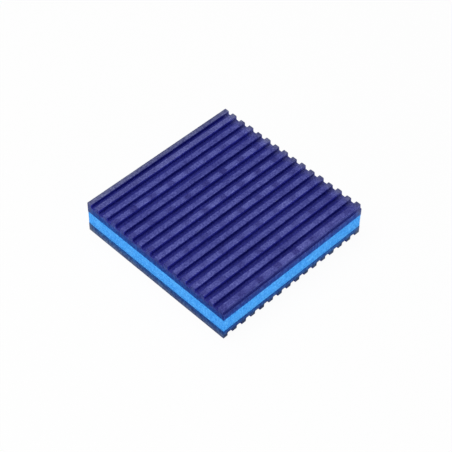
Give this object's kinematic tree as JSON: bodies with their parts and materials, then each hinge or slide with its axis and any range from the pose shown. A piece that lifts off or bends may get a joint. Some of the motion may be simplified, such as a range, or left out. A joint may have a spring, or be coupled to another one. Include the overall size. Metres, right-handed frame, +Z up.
{
  "type": "anti-vibration machine pad",
  "caption": "Square anti-vibration pad of blue foam bonded between two ribbed rubber sheets whose ribs cross, set under machine feet to absorb vibration.",
  "frame": {"origin": "centre of the underside, on the plane that the taller bottom ribs rest on", "axes": "+Z up through the layers, +X along the top ribs, +Y along the bottom ribs"},
  "size_m": [0.1016, 0.1016, 0.0216],
  "materials": {
    "rubber": "matt moulded navy rubber with a pale bloom on the crests and guillotined edges",
    "foam": "matt blue closed-cell foam with fine cut cells on its edges"
  },
  "bodies": {
    "root": {"top_ribbed_sheet": "rubber", "foam_core": "foam", "bottom_ribbed_sheet": "rubber"}
  },
  "joints": []
}
